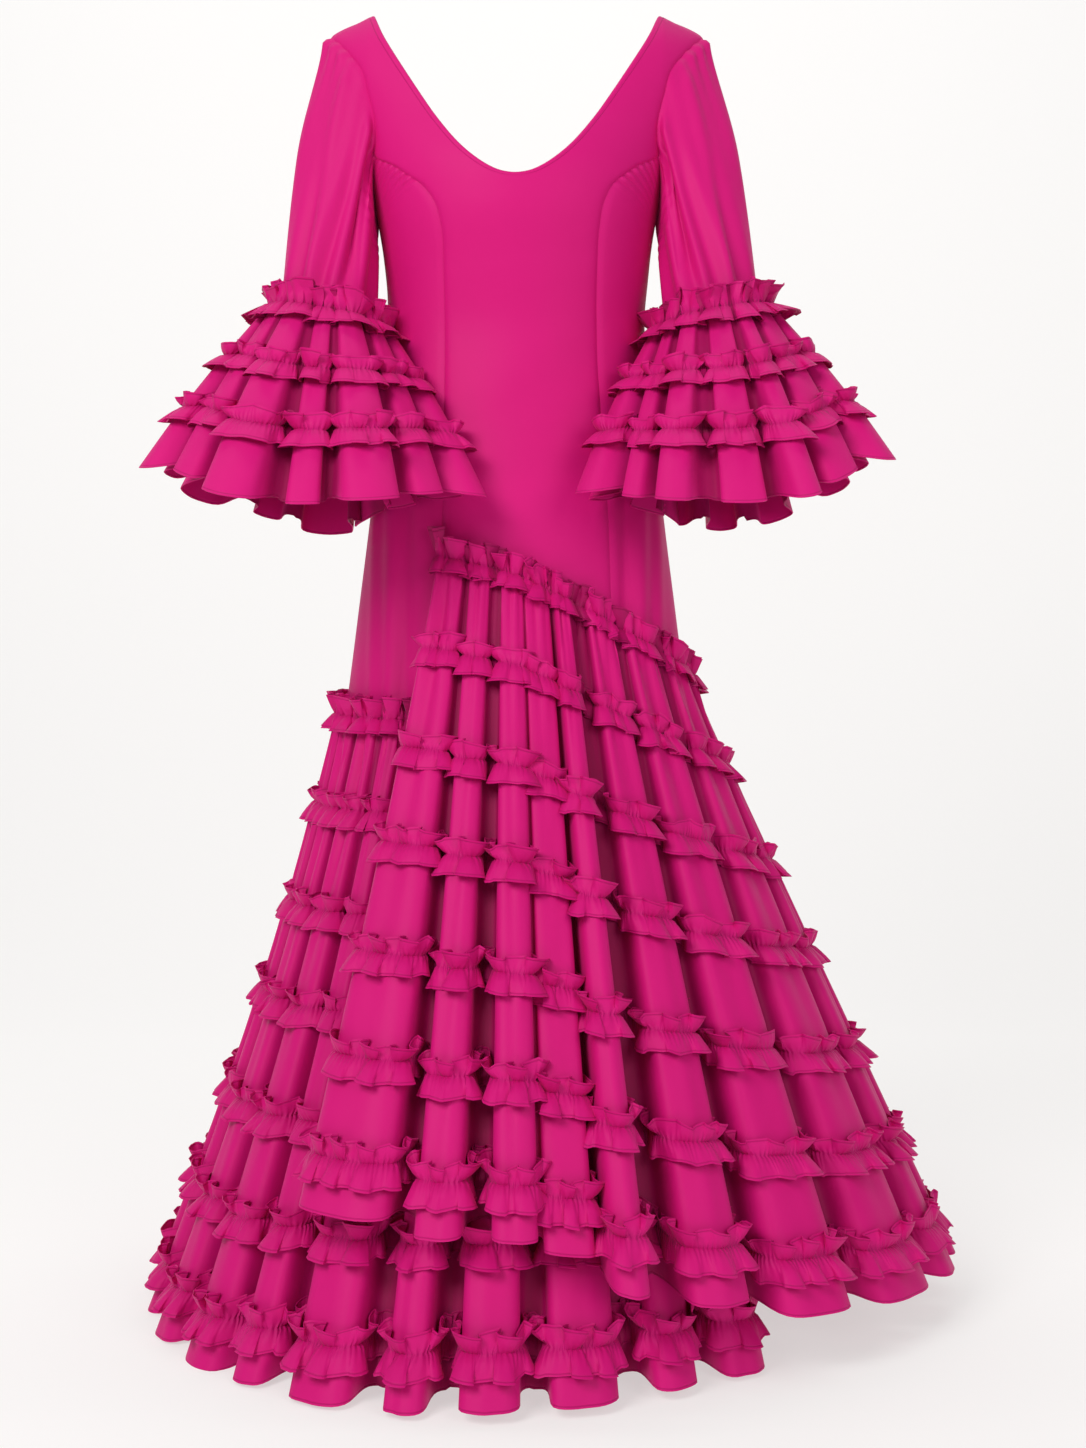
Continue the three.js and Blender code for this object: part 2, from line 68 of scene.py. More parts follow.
TORSO = {
    "drop": [0, 21, 72, 98, 126, 150, 180, 226, 290, 352, 430, 567, 638, 694, 780],
    "half": [215, 213, 200, 190, 180, 172, 163, 152, 143, 140, 147, 163, 172, 179, 190],
    "front": [88, 88, 90, 94, 102, 112, 122, 123, 108, 96, 102, 114, 117, 121, 128],
    "back": [85, 86, 90, 93, 97, 100, 101, 98, 91, 87, 100, 128, 132, 134, 140],
}
# The strap between neckline (inner) and armhole (outer), from the shoulder to the neck's low point.
STRAP = {
    "row": [0, 1, 2, 3, 4, 5, 6, 7, 8, 9],
    "inner_x": [159, 155, 146, 130, 104, 82, 61, 40, 21, 0],
    "inner_drop": [0, 12, 35, 65, 109, 144, 172, 192, 204, 211],
    "outer_x": [205, 197, 181, 167, 160, 153, 152, 153, 130, 104],
    "outer_drop": [21, 30, 50, 72, 98, 126, 150, 165, 182, 206],
}
PRINCESS = {
    "drop": [165, 182, 206, 226, 253, 298, 365, 453, 555, 646, 712, 780],
    "right": [153, 130, 101, 86, 78, 76, 75, 75, 76, 80, 83, 87],
    "left": [153, 130, 104, 94, 89, 87, 87, 91, 98, 101, 104, 107],
    "back": [153, 131, 108, 97, 89, 82, 76, 84, 96, 104, 108, 112],
}
SPIRAL = {
    "turn": [-33, -15, 4, 12, 20, 33, 49, 68, 90, 180, 270, 322, 360, 401],
    "top": [600, 607, 624, 638, 651, 674, 698, 716, 725, 743, 761, 770, 770, 770],
    "hem": [1203, 1228, 1236, 1262, 1286, 1312, 1331, 1341, 1346, 1362, 1384, 1384, 1376, 1380],
    "side": [368, 385, 395, 400, 412, 432, 450, 462, 462, 430, 388, 385, 385, 380],
    "deep": [404, 402, 400, 404, 404, 400, 400, 405, 412, 415, 415, 412, 412, 352],
}
TOP_LEAD = {
    "turn": [-33, -15, 12, 33, 68, 160, 401],
    "lead": [5.5, -1.5, 0, 3, 9, 0, 0],
}
# One row for each fold that shows in front: where its left valley lies, half the width of that
# valley in degrees, how deep it goes, and how far the fold after it stands out.
FRONT_FOLDS = {
    "valley": [-33, -15, -4.5, 4, 12, 20, 33, 49, 68],
    "gap": [1.2, 2.3, 2.4, 0.8, 1.1, 3.3, 2.7, 3.5, 3.0],
    "recess": [1.0, 1.1, 1.15, 0.2, 1.1, 1.4, 1.2, 0.9, 1.1],
    "front": [1.0, 0.85, 1.1, 0.6, 1.8, 1.1, 1.1, 0.85, 1.0],
}
EVEN_TUBES = 27
LAST_TURN = 401
TUBES = len(FRONT_FOLDS["valley"]) - 1 + EVEN_TUBES
TOP_STAND = 5.5             # how far the flounce's top stands off the bodice
HOLLOW_SIDE = 12            # how far the wearer's right side falls in below the hip
GATHERS = [0, 0.155, 0.32, 0.47, 0.635, 0.785, 0.925]
GORES = {
    "flounce_front": (0, 7),
    "flounce_left_side": (7, 13),
    "flounce_back_left": (13, 18),
    "flounce_back_right": (18, 23),
    "flounce_right_side": (23, 29),
    "flounce_under_front": (29, 35),
}
ARMS = {
    "right": {"side": -1, "cuff_x": 199, "hem_x": 206, "hem_half": 152, "rise": 52},
    "left": {"side": 1, "cuff_x": 209, "hem_x": 222, "hem_half": 138, "rise": 58},
}
CUFF = {"y": -45, "drop": 337, "half_x": 49, "half_y": 52, "tilt": 12}
BELL_HEM = {"y": -138, "deep": 112, "drop": 560, "inner_rise": 22}
BELL_TUBES = 14
BELL_STAND = 6.5            # how far a bell's top stands off the sleeve
BELL_TOP_DROP = 330
BELL_GATHERS = [0.05, 0.36, 0.66]


# ------------------------------------------------------------------ small helpers
def read(table, key, at, column):
    """Smooth curve through one column of a table, read at one or many places."""
    x = np.array(table[key], float)
    y = np.array(table[column], float)
    slope = np.gradient(y, x)
    at = np.clip(at, x[0], x[-1])
    low = np.clip(np.searchsorted(x, at) - 1, 0, len(x) - 2)
    span = x[low + 1] - x[low]
    s = (at - x[low]) / span
    ends = y[low] * (1 + 2 * s) * (1 - s) ** 2 + y[low + 1] * s * s * (3 - 2 * s)
    return ends + span * (slope[low] * s * (1 - s) ** 2 - slope[low + 1] * s * s * (1 - s))


def mix(a, b, share):
    return a + (b - a) * share


def smooth(low, high, value):
    """0 below low, 1 above high, and an even curve between."""
    share = np.clip((value - low) / (high - low), 0, 1)
    return share * share * (3 - 2 * share)


def wander(at, seed):
    """A soft uneven wave between about -1 and 1, the same each time."""
    first = np.sin(at * 1.0 + 1.7 * seed)
    second = np.sin(at * 1.618 + 2.9 * seed + 0.5)
    third = np.sin(at * 2.414 + 4.1 * seed + 1.3)
    return (first + 0.7 * second + 0.5 * third) / 2.2


def bell_curve(value, centre, width):
    return np.exp(-(((value - centre) / width) ** 2))


def unit(vectors):
    return vectors / np.maximum(np.linalg.norm(vectors, axis=-1, keepdims=True), 1e-9)


def normals(grid, wraps=False):
    """Outward directions of a grid whose rows run down and whose columns run round."""
    if wraps:
        ring = np.concatenate([grid[:, -2:-1], grid, grid[:, 1:2]], axis=1)
        across = (ring[:, 2:] - ring[:, :-2]) / 2
    else:
        across = np.gradient(grid, axis=1)
    return unit(np.cross(np.gradient(grid, axis=0), across))


def grid_of(rows, columns, low=0.0, high=1.0):
    """Shares down and across, as two grids."""
    down = np.linspace(0, 1, rows + 1)
    across = np.linspace(low, high, columns + 1)
    return np.meshgrid(down, across, indexing="ij")


def patch(points, edge=None, run=None, pucker=None, valley=None):
    """A grid of points. Each has its distance to a free edge, its place along the cloth, the height
    of the small puckers there, and how much painted shade deepens its colour down a valley, from 0 to 1."""
    shape = points.shape[:2]
    if run is None:
        steps = np.linalg.norm(np.diff(points, axis=1), axis=2)
        run = np.concatenate([np.zeros((shape[0], 1)), np.cumsum(steps, axis=1)], axis=1)
    if edge is None:
        edge = np.full(shape, 99.0)
    if pucker is None:
        pucker = np.zeros(shape)
    if valley is None:
        valley = np.zeros(shape)
    return {"points": points, "edge": edge, "run": run, "pucker": pucker, "valley": valley}


# ------------------------------------------------------------------ meshes
ATTRIBUTES = ("edge", "run", "pucker", "valley")


def shell(name, patches, thickness, material):
    """One closed thin shell from patches that may share their borders."""
    points = np.concatenate([p["points"].reshape(-1, 3) for p in patches])
    values = {label: np.concatenate([p[label].reshape(-1) for p in patches]) for label in ATTRIBUTES}
    faces = []
    start = 0
    for p in patches:
        rows, columns = p["points"].shape[:2]
        index = start + np.arange(rows * columns).reshape(rows, columns)
        corners = [index[:-1, :-1], index[:-1, 1:], index[1:, 1:], index[1:, :-1]]
        faces.append(np.stack(corners, axis=-1).reshape(-1, 4))
        start += rows * columns
    faces = np.concatenate(faces)
    keys = np.round(points * 100).astype(np.int64)
    _, first, merged = np.unique(keys, axis=0, return_index=True, return_inverse=True)
    faces = merged.reshape(-1)[faces]
    points = points[first]

    outward = np.zeros_like(points)
    first_diagonal = points[faces[:, 2]] - points[faces[:, 0]]
    diagonal = np.cross(first_diagonal, points[faces[:, 3]] - points[faces[:, 1]])
    for corner in range(4):
        np.add.at(outward, faces[:, corner], diagonal)
    outward = unit(outward)
    count = len(points)
    sides = np.concatenate([faces[:, [a, (a + 1) % 4]] for a in range(4)])
    sides = sides[sides[:, 0] != sides[:, 1]]
    codes = sides[:, 0] * count + sides[:, 1]
    back_codes = sides[:, 1] * count + sides[:, 0]
    rim = sides[~np.isin(codes, back_codes)]
    inner = points - outward * thickness
    quads = [faces, faces[:, ::-1] + count]
    quads.append(np.stack([rim[:, 1], rim[:, 0], rim[:, 0] + count, rim[:, 1] + count], axis=1))
    quads = np.concatenate(quads)
    everything = np.concatenate([points, inner]) * MM

    polygons = [tidy_corners(q) for q in quads.tolist()]
    mesh = bpy.data.meshes.new(name)
    mesh.from_pydata(everything.tolist(), [], [p for p in polygons if len(p) > 2])
    for label in ATTRIBUTES:
        attribute = mesh.attributes.new(label, "FLOAT", "POINT")
        attribute.data.foreach_set("value", np.tile(values[label][first], 2) * MM)
    mesh.polygons.foreach_set("use_smooth", [True] * len(mesh.polygons))
    mesh.set_sharp_from_angle(angle=math.radians(62))
    mesh.materials.append(material)
    piece = bpy.data.objects.new(name, mesh)
    bpy.context.scene.collection.objects.link(piece)
    return piece


def tidy_corners(corners):
    """The corners of a face without the ones that a merge made the same."""
    kept = []
    for corner in corners:
        if corner not in kept:
            kept.append(corner)
    return kept


# ------------------------------------------------------------------ materials
def node(tree, kind, **inputs):
    made = tree.nodes.new(kind)
    for name, value in inputs.items():
        made.inputs[name].default_value = value
    return made


def maths(tree, operation, a, b=None, c=None):
    made = tree.nodes.new("ShaderNodeMath")
    made.operation = operation
    for index, value in enumerate((a, b, c)):
        if value is None:
            continue
        if isinstance(value, (int, float)):
            made.inputs[index].default_value = value
        else:
            tree.links.new(value, made.inputs[index])
    return made.outputs[0]


FUCHSIA = (0.62, 0.005, 0.175, 1)
# FUCHSIA_DEEP is the deeper colour of the stitches and of the cloth's own blotches, and also the painted
# shade in the fold hollows and puckers.
FUCHSIA_DEEP = (0.29, 0.002, 0.072, 1)
HEM_LINE = 0.0022           # metres from the edge to the stitches of the pin hem
HEM_LINE_WIDTH = 0.0006     # and how wide their line is
STITCH_SHARE = 0.5          # how much deeper the colour is on the stitches
BLOTCH_SHARE = 0.12         # and in the cloth's own soft variation
WEAVE = 2400                # crepe grains per metre


def cloth_material(name, gathers=False):
    """Crepe-satin: fine uneven grain, soft sheen, a pin hem along the free edges, and painted shade down
    between the folds.
    """
    material = bpy.data.materials.new(name)
    material.use_nodes = True
    tree = material.node_tree
    shader = tree.nodes["Principled BSDF"]
    shader.inputs["Roughness"].default_value = 0.55
    shader.inputs["Specular IOR Level"].default_value = 0.14
    shader.inputs["Sheen Weight"].default_value = 0.08
    shader.inputs["Sheen Roughness"].default_value = 0.45
    shader.inputs["Sheen Tint"].default_value = (1.0, 0.35, 0.68, 1)
    place = tree.nodes.new("ShaderNodeTexCoord").outputs["Object"]
    edge = tree.nodes.new("ShaderNodeAttribute")
    edge.attribute_name = "edge"
    run = tree.nodes.new("ShaderNodeAttribute")
    run.attribute_name = "run"

    blotch = node(tree, "ShaderNodeTexNoise", Scale=9.0, Detail=3.0, Roughness=0.5)
    tree.links.new(place, blotch.inputs["Vector"])
    stitch_row = maths(tree, "SUBTRACT", edge.outputs["Fac"], HEM_LINE)
    stitch_row = maths(tree, "DIVIDE", stitch_row, HEM_LINE_WIDTH)
    stitch_row = maths(tree, "MULTIPLY", stitch_row, stitch_row)
    stitch_row = maths(tree, "MULTIPLY", stitch_row, -1.0)
    stitch_row = maths(tree, "EXPONENT", stitch_row)
    colour = tree.nodes.new("ShaderNodeMix")
    colour.data_type = "RGBA"
    colour.inputs["A"].default_value = FUCHSIA
    colour.inputs["B"].default_value = FUCHSIA_DEEP
    # Painted shade: the valley attribute deepens the colour down in the fold hollows and in the puckers on
    # the gathering stitches.
    valley = tree.nodes.new("ShaderNodeAttribute")
    valley.attribute_name = "valley"
    share = maths(tree, "MULTIPLY", blotch.outputs["Fac"], BLOTCH_SHARE)
    share = maths(tree, "MULTIPLY_ADD", valley.outputs["Fac"], 1 / MM, share)
    share = maths(tree, "MULTIPLY_ADD", stitch_row, STITCH_SHARE, share)
    tree.links.new(share, colour.inputs["Factor"])
    tree.links.new(colour.outputs["Result"], shader.inputs["Base Color"])

    grain = node(tree, "ShaderNodeTexNoise", Scale=WEAVE, Detail=2.0, Roughness=0.6)
    tree.links.new(place, grain.inputs["Vector"])
    creases = node(tree, "ShaderNodeTexNoise", Scale=26.0, Detail=2.0, Roughness=0.45)
    tree.links.new(place, creases.inputs["Vector"])
    height = maths(tree, "MULTIPLY", grain.outputs["Fac"], 0.00006)
    height = maths(tree, "MULTIPLY_ADD", creases.outputs["Fac"], 0.0006, height)
    height = maths(tree, "MULTIPLY_ADD", stitch_row, -0.00035, height)
    if gathers:
        height = maths(tree, "ADD", height, pucker_height(tree, run.outputs["Fac"]))
    bump = node(tree, "ShaderNodeBump", Strength=0.9, Distance=1.0)
    tree.links.new(height, bump.inputs["Height"])
    tree.links.new(bump.outputs["Normal"], shader.inputs["Normal"])
    return material


PUCKER_STEP = 0.0042        # metres between the small puckers along a gathering stitch
PUCKER_HIGH = 0.6           # their height on the stitches, in millimetres
PUCKER_REACH = 0.35         # share of the ruffle over which they fade
STITCH_SHADE = 0.22         # painted shade: how much deeper the colour is in the puckers


def pucker_height(tree, run):
    """Short fine puckers along the gathering stitches."""
    pucker = tree.nodes.new("ShaderNodeAttribute")
    pucker.attribute_name = "pucker"
    wave = maths(tree, "SINE", maths(tree, "MULTIPLY", run, 2 * math.pi / PUCKER_STEP))
    return maths(tree, "MULTIPLY", wave, pucker.outputs["Fac"])


# ------------------------------------------------------------------ bodice
def torso(turn, drop):
    """Points of the bodice at turns (radians) and drops."""
    half = read(TORSO, "drop", drop, "half")
    ahead = np.cos(turn) > 0
    depth = np.where(ahead, read(TORSO, "drop", drop, "front"), read(TORSO, "drop", drop, "back"))
    x = half * np.sin(turn)
    slope = TIP_DROP / (TIP_X - NECK_X)
    below = np.maximum(drop - slope * np.maximum(np.abs(x) - NECK_X, 0), 0)
    rounding = np.sqrt(1 - np.maximum(1 - below / SHOULDER_ROUND, 0) ** 2)
    return np.stack([x, -depth * rounding * np.cos(turn), -drop + 0 * x], axis=-1)


def turn_of(x, drop):
    """The turn, in radians, at which the front of the bodice has this x."""
    return np.arcsin(np.clip(x / read(TORSO, "drop", drop, "half"), -1, 1))


def torso_normal(turn, drop):
    step = 1.0
    around = torso(turn + 0.01, drop) - torso(turn - 0.01, drop)
    down = torso(turn, drop + step) - torso(turn, drop - step)
    return unit(np.cross(down, around))


SEAM_TUCK = 2.2             # how far a panel's edge turns in at a seam
SEAM_WIDTH = 3.5            # width of the soft groove beside it


def bodice_relief(turn, drop, seam):
    """Soft folds of the bodice cloth, in millimetres out of its surface."""
    x = read(TORSO, "drop", drop, "half") * np.sin(turn)
    front = smooth(-0.1, 0.2, np.cos(turn))
    side = np.sign(x)
    low = smooth(420, 560, drop) * front
    relief = (4.4 * bell_curve(np.abs(x), 132, 8) - 4.2 * bell_curve(np.abs(x), 116, 7)) * low
    relief += 2.8 * bell_curve(np.abs(x), 152, 6) * smooth(500, 600, drop) * front
    trough = (x - 20) * 0.5 + (drop - 430) * 0.86
    relief -= 2.4 * bell_curve(trough, 0, 26) * bell_curve(x, 35, 55) * front
    across = (x + 30) * 0.9 - (drop - 300) * 0.25
    relief += 1.5 * np.sin(across / 21) * bell_curve(drop, 330, 90) * front * 0.6
    waist = bell_curve(drop, 350, 60)
    relief += 0.7 * waist * np.sin(drop / 15 + 2 * side) * smooth(60, 125, np.abs(x))
    back = 1 - front
    small_of_back = bell_curve(drop, 372, 34) * bell_curve(np.abs(x), 40, 60)
    relief += 1.8 * back * small_of_back * np.sin(drop / 10)
    return relief - SEAM_TUCK * np.exp(-seam / SEAM_WIDTH)


BOUND_LINE = 0.6            # the stitches beside the binding lie this much further in than a hem's


def bodice_patch(start_turn, start_drop, end_turn, end_drop, columns, seams, bound=False):
    """Cloth ruled between two edges. seams says which are sewn; bound, that the second one is bound."""
    across = np.linspace(0, 1, columns + 1)
    turn = start_turn[:, None] + (end_turn - start_turn)[:, None] * across
    drop = start_drop[:, None] + (end_drop - start_drop)[:, None] * across
    points = torso(turn, drop)
    steps = np.linalg.norm(np.diff(points, axis=1), axis=2)
    run = np.concatenate([np.zeros((len(points), 1)), np.cumsum(steps, axis=1)], axis=1)
    seam = np.full(turn.shape, 99.0)
    if seams[0]:
        seam = np.minimum(seam, run)
    if seams[1]:
        seam = np.minimum(seam, run[:, -1:] - run)
    points = points + torso_normal(turn, drop) * bodice_relief(turn, drop, seam)[..., None]
    edge = np.maximum(run[:, -1:] - run - BOUND_LINE, 0) if bound else None
    return patch(points, edge=edge, run=run)


NECK_FALL = 0.33            # how steeply the neckline runs down to its lowest point
NECK_ROUND = 11.0           # and how wide the soft curve there is


def neck_edge(at):
    """Distance from the middle and drop of the neckline, whose lowest point is rounded off."""
    x = read(STRAP, "row", at, "inner_x")
    drop = read(STRAP, "row", at, "inner_drop")
    return x, drop - NECK_FALL * (np.hypot(x, NECK_ROUND) - np.abs(x)) * (1 - smooth(30, 60, np.abs(x)))


def strap_edges(side, face, rows=44):
    """The armhole and neck edges of one strap, from the shoulder to the neck's lowest point."""
    at = np.linspace(0, 9, rows + 1)
    share = BACK_NECK_SHARE if face == "back" else 1
    column = face if face == "back" else ("right" if side < 0 else "left")
    outer_drop = read(STRAP, "row", at, "outer_drop")
    outer_x = read(STRAP, "row", at, "outer_x")
    on_seam = read(PRINCESS, "drop", outer_drop, column)
    outer_x = np.where(at > 8.5, mix(outer_x, on_seam, (at - 8.5) * 2), outer_x)
    inner_x, inner_drop = neck_edge(at)
    return side * outer_x, outer_drop, side * inner_x, inner_drop * share


def turned(x, drop, face):
    angle = turn_of(x, drop)
    return angle if face == "front" else np.pi - angle


LOWER_DROPS = np.linspace(206, BODICE_END, 101)


def front_centre(material):
    patches = []
    for side in (-1, 1):
        outer_x, outer_drop, inner_x, inner_drop = strap_edges(side, "front")
        start = turned(outer_x, outer_drop, "front")
        end = turned(inner_x, inner_drop, "front")
        strap = bodice_patch(start, outer_drop, end, inner_drop, 32, (True, False), bound=True)
        if side > 0:
            strap = {key: value[:, ::-1] for key, value in strap.items()}
        patches.append(strap)
    right = turned(-read(PRINCESS, "drop", LOWER_DROPS, "right"), LOWER_DROPS, "front")
    left = turned(read(PRINCESS, "drop", LOWER_DROPS, "left"), LOWER_DROPS, "front")
    lower = bodice_patch(right, LOWER_DROPS, left, LOWER_DROPS, 64, (True, True))
    join = np.concatenate([patches[0]["points"][-1], patches[1]["points"][-1][1:]])
    lower["points"][0] = join
    blend = np.linspace(0, 1, 9)[1:-1, None, None]
    eased = join + (lower["points"][1:8] - lower["points"][0])
    lower["points"][1:8] = mix(eased, lower["points"][1:8], blend)
    return shell("front_centre_cloth", [*patches, lower], CLOTH, material)


def back_centre(side, name, material):
    outer_x, outer_drop, inner_x, inner_drop = strap_edges(side, "back")
    start = np.concatenate([outer_x, side * read(PRINCESS, "drop", LOWER_DROPS, "back")[1:]])
    start_drop = np.concatenate([outer_drop, LOWER_DROPS[1:]])
    end = np.concatenate([inner_x, np.zeros(len(LOWER_DROPS) - 1)])
    low_neck = inner_drop[-1]
    below_neck = mix(low_neck, BODICE_END, np.linspace(0, 1, len(LOWER_DROPS))[1:])
    end_drop = np.concatenate([inner_drop, below_neck])
    start = turned(start, start_drop, "back")
    end = turned(end, end_drop, "back")
    made = bodice_patch(start, start_drop, end, end_drop, 22, (True, True))
    return shell(f"back_centre_cloth_{name}", [made], CLOTH, material)


SEAM_GATHER = 11.0          # between the small gathers under the curved seam


def side_panel(side, face, name, material):
    column = face if face == "back" else ("right" if side < 0 else "left")
    dense = np.linspace(JUNCTION_DROP, BODICE_END, 1500)
    seam = torso(turned(side * read(PRINCESS, "drop", dense, column), dense, face), dense)
    along = np.concatenate([[0], np.cumsum(np.linalg.norm(np.diff(seam, axis=0), axis=1))])
    along_rows = np.concatenate([np.arange(0, 96, 1.6), np.linspace(96, along[-1], 84)])
    drop = np.interp(along_rows, along, dense)
    share = (drop - JUNCTION_DROP) / (BODICE_END - JUNCTION_DROP)
    start = turned(side * read(PRINCESS, "drop", drop, column), drop, face)
    end_drop = mix(UNDERARM_DROP, BODICE_END, share)
    end = np.full(len(drop), side * np.pi / 2)
    if face == "back":
        end = np.pi - end
    made = bodice_patch(start, drop, end, end_drop, 26, (True, True))
    if face == "front":
        place = along_rows[:, None]
        window = smooth(4, 14, place) * (1 - smooth(66, 88, place))
        gathers = np.sin(2 * np.pi * (place + 0.15 * made["run"]) / SEAM_GATHER) * window
        gathers = gathers * np.exp(-made["run"] / 20) * smooth(0, 5, made["run"])
        made["points"] = made["points"] + np.array([0, -2.8, 0]) * gathers[..., None]
    return shell(f"{face}_side_cloth_{name}", [made], CLOTH, material)


def neckline():
    """Turns and drops all round the neck opening."""
    x, drop = neck_edge(np.linspace(0, 9, 90))
    places = []
    for side, face in ((1, "front"), (1, "back"), (-1, "back"), (-1, "front")):
        share = BACK_NECK_SHARE if face == "back" else 1
        turn = turned(side * x, drop * share, face)
        order = slice(None, None, -1) if (side > 0) == (face == "front") else slice(None)
        places.append(np.stack([turn, drop * share], axis=1)[order][:-1])
    return np.concatenate(places)


BINDING_HALF = 2.6          # half of the binding's width on the cloth
BINDING_DEEP = 1.7          # half of its thickness
BINDING_SHIFT = 0.9         # its middle, inside the opening
BINDING_SIDES = 10


def neck_binding(material):
    places = neckline()
    points = torso(places[:, 0], places[:, 1])
    along = unit(np.roll(points, -1, axis=0) - np.roll(points, 1, axis=0))
    inward = unit(np.stack([-points[:, 0], 0 * points[:, 0], np.full(len(points), 60.0)], axis=1))
    across = unit(np.cross(along, inward))
    inward = unit(np.cross(across, along))
    centre = points + inward * BINDING_SHIFT - across * CLOTH / 2 * np.sign(across[:, 1:2] * points[:, 1:2])
    turn = (np.linspace(0, 2 * np.pi, BINDING_SIDES + 1)[:-1])[None, :, None]
    tube = centre[:, None] + inward[:, None] * BINDING_HALF * np.cos(turn)
    tube = tube + across[:, None] * BINDING_DEEP * np.sin(turn)
    count = len(tube)
    index = np.arange(count * BINDING_SIDES).reshape(count, BINDING_SIDES)
    following = np.roll(index, -1, axis=0)
    faces = np.stack([index, np.roll(index, -1, axis=1), np.roll(following, -1, axis=1), following], axis=-1)
    mesh = bpy.data.meshes.new("neck_binding_cloth")
    mesh.from_pydata((tube.reshape(-1, 3) * MM).tolist(), [], faces.reshape(-1, 4).tolist())
    mesh.polygons.foreach_set("use_smooth", [True] * len(mesh.polygons))
    for label, value in (("edge", 0.099), ("run", 0.0)):
        attribute = mesh.attributes.new(label, "FLOAT", "POINT")
        attribute.data.foreach_set("value", [value] * len(mesh.vertices))
    mesh.materials.append(material)
    piece = bpy.data.objects.new("neck_binding_cloth", mesh)
    bpy.context.scene.collection.objects.link(piece)
    return piece


# ------------------------------------------------------------------ sleeves
ARMHOLE_STAND = 0.4         # how far the sleeve's second row stands off the armhole
ARMHOLE_UNDER = 6.0         # how far the sleeve's edge reaches in under the bodice's


SLEEVE_RIDGE = 5.4          # the long ridge down the sleeve from the shoulder tip
SLEEVE_TROUGH = 11.5        # and the trough along its inner side


def armhole(side, count):
    """Dense round of points on the armhole: shoulder tip, front, underarm, back."""
    halves = []
    for face in ("front", "back"):
        at = np.linspace(0, 7, 60)
        x = side * read(STRAP, "row", at, "outer_x")
        drop = read(STRAP, "row", at, "outer_drop")
        turn = turned(x, drop, face)
        end = side * np.pi / 2 if face == "front" else np.pi - side * np.pi / 2
        share = np.linspace(0, 1, 24)[1:]
        low_turn = mix(turn[-1], end, share)
        low_drop = mix(float(JUNCTION_DROP), UNDERARM_DROP, share)
        halves.append(torso(np.concatenate([turn, low_turn]), np.concatenate([drop, low_drop])))
    loop = np.concatenate([halves[0], halves[1][::-1][1:]])
    lengths = np.concatenate([[0], np.cumsum(np.linalg.norm(np.diff(loop, axis=0), axis=1))])
    at = np.linspace(0, lengths[-1], count + 1)
    return np.stack([np.interp(at, lengths, loop[:, axis]) for axis in range(3)], axis=1)


def cuff_ring(arm, angle, spread, drop):
    """Points round the sleeve's end. Angle 0 is outward and a right angle is in front."""
    x = arm["side"] * (arm["cuff_x"] + (CUFF["half_x"] + spread) * np.cos(angle))
    y = CUFF["y"] - (CUFF["half_y"] + spread) * np.sin(angle)
    return np.stack([x, y, -drop + CUFF["tilt"] * np.cos(angle)], axis=-1)


def sleeve(arm, name, material):
    columns, rows = 180, 60
    side = arm["side"]
    share, part = grid_of(rows, columns)
    share = share ** 1.15
    angle = 2 * np.pi * part
    ring = armhole(side, columns)
    start = ring + np.array([side * ARMHOLE_STAND, 0, 0])
    under = ring - ARMHOLE_UNDER * unit(ring * np.array([1, 1, 0]))
    end = cuff_ring(arm, angle[0], 0, CUFF["drop"] + 6)
    points = start[None] + (end - start)[None] * share[..., None]
    outer = np.maximum(np.cos(angle), 0)
    puff = 9 * np.sin(np.pi * share**0.7) * outer
    cap = smooth(0.55, 0.9, np.cos(angle))
    puff += 5.5 * cap * np.exp(-share / 0.05) * smooth(0, 0.02, share)
    points[..., 0] += side * puff
    out = normals(points, wraps=True) * -side
    gathers = 1.9 * cap * np.sin(angle * 26) * np.exp(-share / 0.10) * smooth(0, 0.015, share)
    swing = angle + 0.35 * (share - 0.5) * np.sin(angle)
    folds = 3.6 * np.sin(3 * swing + 0.8) + 2.6 * np.sin(7 * swing - 1.1 * share + 0.4)
    folds += 1.5 * np.sin(11 * swing + 2.0 * share)
    folds = folds * smooth(0.05, 0.45, share) * (1 - 0.5 * smooth(0.9, 1.0, share))
    long_crease = bell_curve(angle, 1.98 - 0.12 * share, 0.17) * (1 - 0.75 * smooth(0.55, 0.95, share))
    ridge = bell_curve(angle, 1.62 - 0.05 * share, 0.13) + 0.7 * bell_curve(angle, 0.75 + 0.35 * share, 0.14)
    small = bell_curve(angle, 2.55, 0.35) * bell_curve(share, 0.27, 0.13)
    held = smooth(0.01, 0.10, share) * (1 - 0.7 * smooth(0.8, 1.0, share))
    folds += (SLEEVE_RIDGE * ridge - SLEEVE_TROUGH * long_crease) * held
    folds += 2.2 * small * np.sin(share * 82 + 2 * angle)
    cuff_pull = 1.3 * np.sin(angle * 24) * smooth(0.93, 1.0, share)
    points = points + out * (gathers + folds + cuff_pull)[..., None]
    points[0] = under
    points[:, -1] = points[:, 0]
    return shell(f"sleeve_cloth_{name}", [patch(points)], CLOTH, material)


# ------------------------------------------------------------------ folds
CORNERS = (0, 0.14, 0.30, 0.5, 0.70, 0.86)
TUCK = 0.45                 # degrees that a fold's walls lean back under it


def fold_corners(valleys, gaps, recesses, fronts):
    """Corner points of a row of tube folds: place along the row, turn, and depth from -1 to 1."""
    place, turn, depth = [], [], []
    for n in range(len(valleys) - 1):
        left, right = valleys[n] + gaps[n], valleys[n + 1] - gaps[n + 1]
        middle = (left + right) / 2
        place += [n + corner for corner in CORNERS]
        turn += [valleys[n], left, left - TUCK, middle, right + TUCK, right]
        front = fronts[n]
        depth += [-recesses[n], -0.9 * recesses[n], 0.72 * front, front, 0.72 * front]
        depth.append(-0.9 * recesses[n + 1])
    place.append(len(valleys) - 1)
    turn.append(valleys[-1])
    depth.append(-recesses[-1])
    return np.array(place, float), np.array(turn, float), np.array(depth, float)


